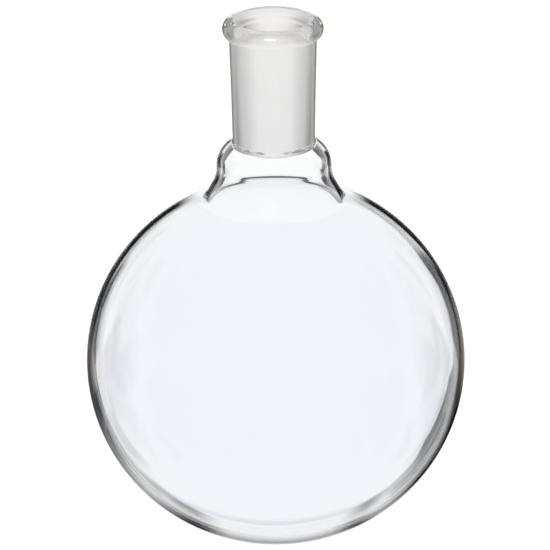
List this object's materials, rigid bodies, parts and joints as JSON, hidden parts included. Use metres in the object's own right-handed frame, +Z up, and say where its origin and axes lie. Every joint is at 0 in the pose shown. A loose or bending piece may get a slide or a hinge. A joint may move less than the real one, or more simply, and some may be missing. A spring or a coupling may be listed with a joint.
{
  "type": "round bottom flask",
  "caption": "Clear glass round bottom flask with a wide collar, a short tubular neck, a tapered ground glass socket and a rounded rim bead.",
  "frame": {"origin": "lowest point of the bulb, on the flask's axis", "axes": "+Z up the flask's axis, from the bulb to the rim; it is round, so X and Y are free"},
  "size_m": [0.131, 0.131, 0.188],
  "materials": {
    "clear_glass": "clear, fire polished",
    "ground_glass": "clear outside, ground to a fine frost in the bore"
  },
  "bodies": {
    "root": {"bulb": "clear_glass", "neck_collar": "clear_glass", "joint_socket": "ground_glass", "rim_bead": "clear_glass"}
  },
  "joints": []
}
